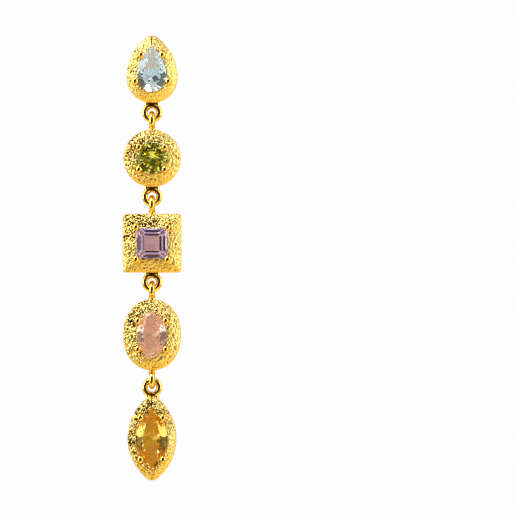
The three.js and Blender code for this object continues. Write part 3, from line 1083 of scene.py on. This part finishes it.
def frame_mesh(name, shape, sizes, crease_width):
    """A frame: flat back, upright edge, sloping flank, and the blind well behind the stone."""
    rows = frame_rows(shape, sizes, *of_station(sizes, name, "lip"))
    points, faces = shell([lift(row.outline, row.height) for row in rows])
    mesh = mesh_of(name, points, faces)

    def at_points(key, back=0.0):
        """A value at the points of all rows, in the middle of the back and on the floor."""
        values = np.repeat([getattr(row, key) for row in rows], len(shape.edge))
        return np.append(values, (back, 0.0))

    grain = at_points("grain")
    across, up = points[:, 0], points[:, 2]
    away = points[:, (0, 2)] / np.maximum(np.hypot(across, up), 0.01)[:, None]
    facing = 0.5 + 0.5 * (away @ UPPER_LEFT)
    upper_left = np.clip(facing, 0, 1) ** UPPER_LEFT_POWER
    beside = np.exp(-at_points("out") / BESIDE_REACH)
    beside[-2:] = 0.0
    beside = beside * (BESIDE_PLAIN + upper_left)
    crack_strength = CRACK_SHARES[name]
    # Painted shade: the cracks are painted darker at the upper left, as if lit from the lower
    # right, and beside the stone
    cracks = PLAIN_CRACKS + UPPER_LEFT_CRACKS * upper_left + BESIDE_CRACKS * beside
    weigh(mesh, "grain", grain * min(crack_strength, 1.0) * (PLAIN_GRAIN + UPPER_LEFT_GRAIN * upper_left))
    weigh(mesh, "deeper", crack_strength * cracks)
    start, end = shape.above + CREASE_START, shape.above + CREASE_END
    over, under = CREASE_SHARES.get(name, (0.0, 0.0))
    creases = over * smooth(up, start, end) + under * smooth(-up, start, end)
    creases = creases * np.exp(-((across / crease_width) ** 2)) * (grain > CREASE_GRAIN)
    weigh(mesh, "crease", creases)
    weigh(mesh, "outside", at_points("outside", back=1.0))
    weigh(mesh, "wall", at_points("wall"))
    mesh.materials.append(well_with_painted_glow(name))
    mesh.shade_smooth()
    mesh.set_sharp_from_angle(angle=FRAME_CRISP_ANGLE)
    mesh.transform(Matrix.Translation((0, 0, shape.up)))
    return mesh


# Claws

# Heights of the upper and lower claws, as shares of the stone's height above and below its
# centre
CLAW_SHARES = {
    "pear": (0.7, 0.26),
    "round": (0.7, 0.7),
    "square": (1.02, 1.02),
    "oval": (0.6, 0.6),
    "marquise": (0.66, 0.66),
}
CLAW_BROW = 0.15  # share of the claw's foot where its first row is
WELD_DISTANCE = 0.002  # millimetres


def across_at(outline, up):
    """How far across an outline's +X side is at a height."""
    side = outline[: len(outline) // 2 + 1]
    return np.interp(-up, -side[:, 1], side[:, 0])


def claw_mesh(sizes):
    """One claw: an upright oval bead on a foot that flares into the flank."""
    turn = np.linspace(0, 2 * math.pi, CLAW_SIDES, endpoint=False)
    outline = np.column_stack((np.cos(turn) * sizes.width, np.sin(turn) * sizes.tallness)) / 2
    rings = []
    for step in range(CLAW_ROWS):
        tilt = (step + 0.5) / CLAW_ROWS * math.pi / 2
        height = sizes.height - sizes.dome * (1 - math.cos(tilt))
        rings.append(lift(outline * math.sin(tilt), height))
    brow = sizes.height - sizes.dome
    for part in np.linspace(CLAW_BROW, 1, CLAW_ROWS // 2):
        spread = 1 + (sizes.flare - 1) * part**2
        rings.append(lift(outline * spread, brow + (sizes.root - brow) * part))
    return mesh_of("claw", *shell(rings))


def grown_stone(name, clearance):
    """A copy of a stone, in millimetres, that is larger all round by the claws' clearance."""
    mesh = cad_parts[name + "_stone"].data.copy()
    mesh.transform(Matrix.Scale(1 / METRES, 4))
    low, high = stone_box(name)
    grown = [1 + 2 * clearance / size for size in high - low]
    about = Matrix.Translation((low + high) / 2)
    stretch = Matrix.Diagonal((*grown, 1))
    mesh.transform(about @ stretch @ about.inverted())
    piece = working("grown_" + name, mesh)
    piece.modifiers.new("weld", "WELD").merge_threshold = WELD_DISTANCE
    return piece


def claw_points(name, shape, offset):
    """Points where the claws stand."""
    line = shape.girdle(offset)
    above, below = CLAW_SHARES[name]
    points = []
    for up in (above * shape.above, -below * shape.below):
        across = across_at(line, up)
        points.extend((side * across, 0, shape.up + up) for side in (1, -1))
    mesh = bpy.data.meshes.new(name + "_claws")
    mesh.from_pydata(points, [], [])
    return mesh


# Loops

# Where a ring's arms start and bend, as shares of the ring's radius
ARM_START_ACROSS = 0.86
ARM_START_UP = 0.3
ARM_BEND_UP = 0.85
ARM_LEAN = 0.06  # millimetres that an arm leans out at its end
ARM_FLARE = 1.15  # an arm's radius at its end, as a share of its radius
WEB_OVERLAP = 0.25  # millimetres
MARQUISE_SPREAD = 0.85  # the marquise's arms, as a share of the others' spread

# Where an eye's neck starts and bends, as shares of the eye's radius
NECK_START = 0.8
NECK_BEND = 1.2
NECK_WEB = 0.3  # millimetres, the side of a cube hidden in the neck

# The recess between a ring's arms, which is painted dark as painted shade: ways to an arm
# between which the painted shade sets in, and its rise
RECESS_SIDES = (0.9, 0.55)
RECESS_RISE = 0.14  # millimetres


def painted_recess_shade(points, values):
    """How deep points lie in the recess between a ring's arms, from 0 to 1, which sets how dark
    its painted shade is.
    """
    spread = values["Arm end"][0]
    bottom = values["Ring radius"]
    start, end = (spread * part for part in RECESS_SIDES)
    across = smooth(np.abs(points[:, 0]), start, end)
    return across * smooth(points[:, 2], bottom, bottom + RECESS_RISE)


def loop_piece(name, tree, values, voxel, place):
    piece = working(name, bpy.data.meshes.new(name))
    use_tree(piece, tree, {**values, "Material": gold("polished gold")})
    blend = piece.modifiers.new("blend", "REMESH")
    blend.mode = "VOXEL"
    blend.voxel_size = voxel
    blend.use_smooth_shade = True
    soften = piece.modifiers.new("soften", "SMOOTH")
    soften.factor = 0.5
    soften.iterations = 5
    settle(piece, place, crisp=0)
    mesh = piece.data
    has_two_arms = values["Arm end"][0] > 0
    if has_two_arms:
        points = np.empty(3 * len(mesh.vertices), dtype=np.float32)
        mesh.vertices.foreach_get("co", points)
        local = points.reshape(-1, 3) / METRES - np.array(place.translation)
        local[:, 2] *= place[2][2]
        # Painted shade in the recess between the arms
        weigh(mesh, "pits", painted_recess_shade(local, values))
    mesh.materials.clear()
    mesh.materials.append(gold("polished gold"))
    return piece


def hang_loop(context, tree, name, label, side, reach, values):
    """Makes a loop above its station where side is 1, or below it where side is -1."""
    sizes = in_millimetres(context.scene.earring_frames)
    voxel = in_millimetres(context.scene.earring_loops).voxel
    shape = station_shape(name, sizes)
    end = shape.top if side > 0 else shape.foot
    centre = (0, -sizes.edge_thickness / 2, shape.up + end + side * reach)
    flip = Matrix.Rotation(math.pi if side > 0 else 0, 4, "Y")
    place = Matrix.Translation(centre) @ flip
    piece = loop_piece(f"{name}_{label}", tree, values, voxel, place)
    dress(piece, name, name + "_setting")


# Operators


class EARRING_OT_stones(bpy.types.Operator):
    """Give the five cut stones their colour and clarity"""

    bl_idname = "earring.stones"
    bl_label = "Stones"

    def execute(self, context):
        tones = context.scene.earring_stones
        for name in STATIONS:
            tint, clarity, index = of_station(tones, name, "tint", "clarity", "index")
            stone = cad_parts[name + "_stone"]
            stone.data.materials.clear()
            finish = stone_material(name + " stone", tint, clarity, index)
            stone.data.materials.append(finish)
        return {"FINISHED"}


class EARRING_OT_frames(bpy.types.Operator):
    """Make the five grained frames"""

    bl_idname = "earring.frames"
    bl_label = "Frames"

    def execute(self, context):
        sizes = in_millimetres(context.scene.earring_frames)
        grain = in_millimetres(context.scene.earring_grain)
        tree = grain_tree()
        values = {
            label: getattr(grain, label.lower().replace(" ", "_")) for label in GRAIN_INPUTS
        }
        values["Material"] = gold("grained gold")
        for order, name in enumerate(STATIONS):
            shape = station_shape(name, sizes)
            mesh = frame_mesh(name, shape, sizes, grain.crease_width)
            piece = working(name + "_frame", mesh)
            use_tree(piece, tree, {**values, "Seed": grain.seed + order})
            settle(piece, crisp=0)
            dress(piece, name, name + "_setting")
        return {"FINISHED"}


class EARRING_OT_claws(bpy.types.Operator):
    """Stand four claws round each stone"""

    bl_idname = "earring.claws"
    bl_label = "Claws"

    def execute(self, context):
        sizes = in_millimetres(context.scene.earring_claws)
        frames = in_millimetres(context.scene.earring_frames)
        tree = claw_tree()
        claw = working("claw", claw_mesh(sizes))
        for name in STATIONS:
            stone = grown_stone(name, sizes.clearance)
            points = claw_points(name, station_shape(name, frames), sizes.offset)
            piece = working(name + "_claws", points)
            values = {"Claw": claw, "Stone": stone, "Material": gold("polished gold")}
            use_tree(piece, tree, values)
            settle(piece)
            dress(piece, name, name + "_setting")
            bpy.data.objects.remove(stone)
        bpy.data.objects.remove(claw)
        return {"FINISHED"}


class EARRING_OT_rings(bpy.types.Operator):
    """Make the four rings that face the front, with their arms and webs"""

    bl_idname = "earring.rings"
    bl_label = "Rings"

    def execute(self, context):
        loops = in_millimetres(context.scene.earring_loops)
        tree = loop_tree()
        radius = loops.ring_radius
        for name in ("pear", "round", "square", "marquise"):
            upwards = name == "marquise"
            neck = loops.marquise_neck if upwards else loops.ring_neck
            spread = loops.arm_spread * (MARQUISE_SPREAD if upwards else 1.0)
            values = {
                "Ring radius": radius,
                "Wire radius": loops.ring_wire,
                "Arm start": (radius * ARM_START_ACROSS, 0.0, radius * ARM_START_UP),
                "Arm bend": (spread, 0.0, radius * ARM_BEND_UP),
                "Arm end": (spread + ARM_LEAN, 0.0, radius + neck + loops.sink),
                "Arm radius": loops.arm_radius,
                "Arm flare": loops.arm_radius * ARM_FLARE,
                "Web size": (2 * spread, loops.web_thickness, neck + loops.sink + WEB_OVERLAP),
                "Web place": (0.0, 0.0, radius + (neck + loops.sink) / 2),
                "Turn": (math.pi / 2, 0.0, 0.0),
            }
            side = 1 if upwards else -1
            hang_loop(context, tree, name, "ring", side, radius + neck, values)
        return {"FINISHED"}


class EARRING_OT_eyes(bpy.types.Operator):
    """Make the four eyes that are seen edge on, with their necks"""

    bl_idname = "earring.eyes"
    bl_label = "Eyes"

    def execute(self, context):
        loops = in_millimetres(context.scene.earring_loops)
        tree = loop_tree()
        reach = loops.eye_radius + loops.eye_neck
        values = {
            "Ring radius": loops.eye_radius,
            "Wire radius": loops.eye_wire,
            "Arm start": (0.0, 0.0, loops.eye_radius * NECK_START),
            "Arm bend": (0.0, 0.0, loops.eye_radius * NECK_BEND),
            "Arm end": (0.0, 0.0, reach + loops.sink),
            "Arm radius": loops.neck_radius,
            "Arm flare": loops.neck_flare,
            "Web size": (NECK_WEB, NECK_WEB, NECK_WEB),
            "Web place": (0.0, 0.0, reach),
            "Turn": (0.0, math.pi / 2, 0.0),
        }
        for name, side in (("round", 1), ("square", 1), ("oval", 1), ("oval", -1)):
            label = "top_eye" if side > 0 else "foot_eye"
            hang_loop(context, tree, name, label, side, reach, values)
        return {"FINISHED"}


POST_TIP = 0.35  # the post's flat tip, as a share of its radius
POST_SINK = 0.05  # millimetres that the post goes into the back
POLE_RADIUS = 0.05  # millimetres, the first and last rows of the post


class EARRING_OT_post(bpy.types.Operator):
    """Make the plain ear post"""

    bl_idname = "earring.post"
    bl_label = "Post"

    def execute(self, context):
        fillet = in_millimetres(context.scene.earring_post).fillet
        low, high = (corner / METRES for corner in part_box("ear_post"))
        radius = (high.x - low.x) / 2
        end = high.y
        foot = [
            (radius + fillet * (1 - math.sin(turn)), fillet * (1 - math.cos(turn)))
            for turn in np.linspace(0, math.pi / 2, FILLET_STEPS)
        ]
        tip = [
            (
                radius * (POST_TIP + (1 - POST_TIP) * math.cos(turn)),
                end - radius * (1 - math.sin(turn)),
            )
            for turn in np.linspace(0, math.pi / 2, TIP_STEPS)
        ]
        start = [(POLE_RADIUS, -POST_SINK), (radius + fillet, -POST_SINK)]
        profile = [*start, *foot, *tip, (POLE_RADIUS, end)]
        mesh = mesh_of("ear_post_turned", *shell(turned(profile, POST_SIDES)))
        mesh.transform(Matrix.Translation((0, 0, (high.z + low.z) / 2)))
        mesh.materials.append(gold("polished gold"))
        piece = settle(working("post_turned", mesh))
        dress(piece, "pear", "ear_post")
        return {"FINISHED"}


# Stage

# Cards and panels round the earring: degrees across from the front towards +X and degrees up,
# then the distance, width and height in metres
FRONT_CARD = (-10, 12, 0.3, 0.56, 0.56)
GAP_CARD = (0, 6, 0.2, 0.2, 0.6)
LENS_CARD = (1, -2, 0.4, 0.16, 0.16)
PANELS = {
    "key": (-35, 58, 0.5, 0.22, 0.16),
    "left_panel": (-75, 15, 0.5, 0.36, 0.5),
    "right_panel": (78, 12, 0.5, 0.36, 0.5),
}
WATTS = {"key": 1.7, "left_panel": 2.1, "right_panel": 1.2}
GAP_TAPER = 0.65  # how much narrower the card is at its top
SOFT_CARD_RADIUS = 0.27
DARK = (0.03, 0.015, 0.004)
FLOOR_ROUGHNESS = 0.6
SENSOR_WIDTH = 36.0

# Y or Z of a direction, between which each light of the studio sets in
TO_FRONT = (-0.35, -0.85)
TO_BACK = (0.1, 0.7)
TO_TABLE = (-0.1, -0.7)
PATCHES_FROM = (-0.3, -0.5)
PATCH_EDGE = (0.46, 0.54)


def around(piece, target, across, up, distance):
    """Puts a piece round a target and turns it to face that target."""
    across, up = math.radians(across), math.radians(up)
    flat = distance * math.cos(up)
    way = Vector((flat * math.sin(across), -flat * math.cos(across), distance * math.sin(up)))
    piece.location = target + way
    turn = (target - piece.location).to_track_quat("-Z", "Y")
    piece.rotation_euler = turn.to_euler()


def disc(name, width, height, material, taper=0.0):
    """A flat oval, narrower above by a share of its width."""
    turn = np.linspace(0, 2 * math.pi, CARD_SIDES, endpoint=False)
    narrow = 1 - taper * (0.5 + 0.5 * np.sin(turn))
    points = np.column_stack(
        (width / 2 * np.cos(turn) * narrow, height / 2 * np.sin(turn), np.zeros(CARD_SIDES))
    )
    mesh = bpy.data.meshes.new(name)
    mesh.from_pydata(points.tolist(), [], [list(range(CARD_SIDES))])
    mesh.materials.append(material)
    return working(name, mesh)


def card(name, target, place, material, taper=0.0):
    """An oval card that is seen only in the earring's reflections and through its stones."""
    across, up, distance, width, height = place
    piece = disc(name, width, height, material, taper)
    around(piece, target, across, up, distance)
    piece.visible_camera = False
    piece.visible_diffuse = False
    piece.visible_shadow = False
    return piece


def panel(name, target, place, watts):
    across, up, distance, width, height = place
    light = bpy.data.lights.new(name, "AREA")
    light.shape = "RECTANGLE"
    light.size = width
    light.size_y = height
    light.energy = watts
    around(working(name, light), target, across, up, distance)


def studio_light(studio):
    """Soft light: in patches from the front, dimmer from the sides, warm from below.

    The camera itself sees an even, pale background.
    """
    world = bpy.data.worlds.new("studio light")
    world.use_nodes = True
    tree = world.node_tree
    way = add(tree, "ShaderNodeTexCoord")["Generated"]
    parts = add(tree, "ShaderNodeSeparateXYZ", {0: way})
    forwards = smooth_step(tree, parts["Y"], *TO_FRONT)
    backwards = smooth_step(tree, parts["Y"], *TO_BACK)
    downwards = smooth_step(tree, parts["Z"], *TO_TABLE)
    level = mix(tree, forwards, studio.side, studio.front)
    level = mix(tree, backwards, level, studio.back)
    glow = [channel * studio.table_strength for channel in studio.table_glow]
    warm = mix(tree, downwards, level, glow)
    patches = add(
        tree,
        "ShaderNodeTexNoise",
        {"Vector": way, "W": studio.patch_seed, "Scale": 1 / studio.patch_size, "Detail": 1.0},
        noise_dimensions="4D",
    )[0]
    patchy = smooth_step(tree, patches, *PATCH_EDGE)
    patch = ramp(tree, patchy, 0.0, 1.0, studio.patch_low, studio.patch_high)
    in_front = smooth_step(tree, parts["Y"], *PATCHES_FROM)
    brightness = between(tree, in_front, 1.0, patch)
    plain = add(tree, "ShaderNodeLightPath")["Is Camera Ray"]
    seen = {
        "Color": mix(tree, plain, warm, studio.pale),
        "Strength": between(tree, plain, brightness, 1.0),
    }
    feed(tree, tree.nodes["Background"], seen)
    return world


class EARRING_OT_stage(bpy.types.Operator):
    """Set up the floor, the soft light, the dark cards and the camera"""

    bl_idname = "earring.stage"
    bl_label = "Stage"

    def execute(self, context):
        scene = context.scene
        studio = scene.earring_studio
        low, high = (Vector(corner) for corner in CAD_BOX)
        target = Vector((0, 0, (low.z + high.z) / 2))

        scene.world = studio_light(studio)

        material, tree, shader = new_material("floor")
        feed(tree, shader, {"Base Color": (*studio.pale, 1), "Roughness": FLOOR_ROUGHNESS})
        floor = disc("floor", 2 * studio.floor_radius, 2 * studio.floor_radius, material)
        floor.data.transform(Matrix.Translation((0, 0, low.z - studio.floor_drop)))
        floor.visible_glossy = False

        soft = soft_dark_material("soft dark card", SOFT_CARD_RADIUS)
        dark = glow_material("dark card", DARK, 1.0)
        card("front_card", target, FRONT_CARD, soft).visible_transmission = False
        card("gap_card", target, GAP_CARD, dark, GAP_TAPER).visible_transmission = False
        card("lens_card", target, LENS_CARD, dark)
        for name, place in PANELS.items():
            panel(name, target, place, WATTS[name])

        camera = bpy.data.cameras.new("camera")
        camera.sensor_width = SENSOR_WIDTH
        camera.lens = SENSOR_WIDTH * studio.camera_distance / studio.view_width
        view = working("camera", camera)
        view.location = (studio.aim_across, -studio.camera_distance, studio.aim_up)
        view.rotation_euler = (math.pi / 2, 0, 0)
        scene.camera = view
        scene.view_settings.view_transform = "Standard"
        scene.cycles.max_bounces = 20
        scene.cycles.transmission_bounces = 16
        scene.cycles.glossy_bounces = 12
        return {"FINISHED"}


class EARRING_PT_panel(bpy.types.Panel):
    """Sizes and steps of the drop earring"""

    bl_idname = "EARRING_PT_panel"
    bl_label = "Drop earring"
    bl_space_type = "VIEW_3D"
    bl_region_type = "UI"
    bl_category = "Earring"

    def draw(self, context):
        for operator in OPERATORS:
            self.layout.operator(operator.bl_idname)
        for label, group in GROUPS.items():
            box = self.layout.box()
            box.label(text=group.__doc__)
            values = getattr(context.scene, label)
            for name in group.__annotations__:
                box.prop(values, name)


OPERATORS = (
    EARRING_OT_stage,
    EARRING_OT_stones,
    EARRING_OT_frames,
    EARRING_OT_claws,
    EARRING_OT_rings,
    EARRING_OT_eyes,
    EARRING_OT_post,
)


def register():
    for group in (*GROUPS.values(), *OPERATORS, EARRING_PT_panel):
        bpy.utils.register_class(group)
    for label, group in GROUPS.items():
        setattr(bpy.types.Scene, label, PointerProperty(type=group))


def unregister():
    for label in GROUPS:
        delattr(bpy.types.Scene, label)
    for group in (EARRING_PT_panel, *reversed(OPERATORS), *GROUPS.values()):
        bpy.utils.unregister_class(group)


def main():
    register()
    for operator in OPERATORS:
        family, step = operator.bl_idname.split(".")
        getattr(getattr(bpy.ops, family), step)()


if __name__ == "__main__":
    main()
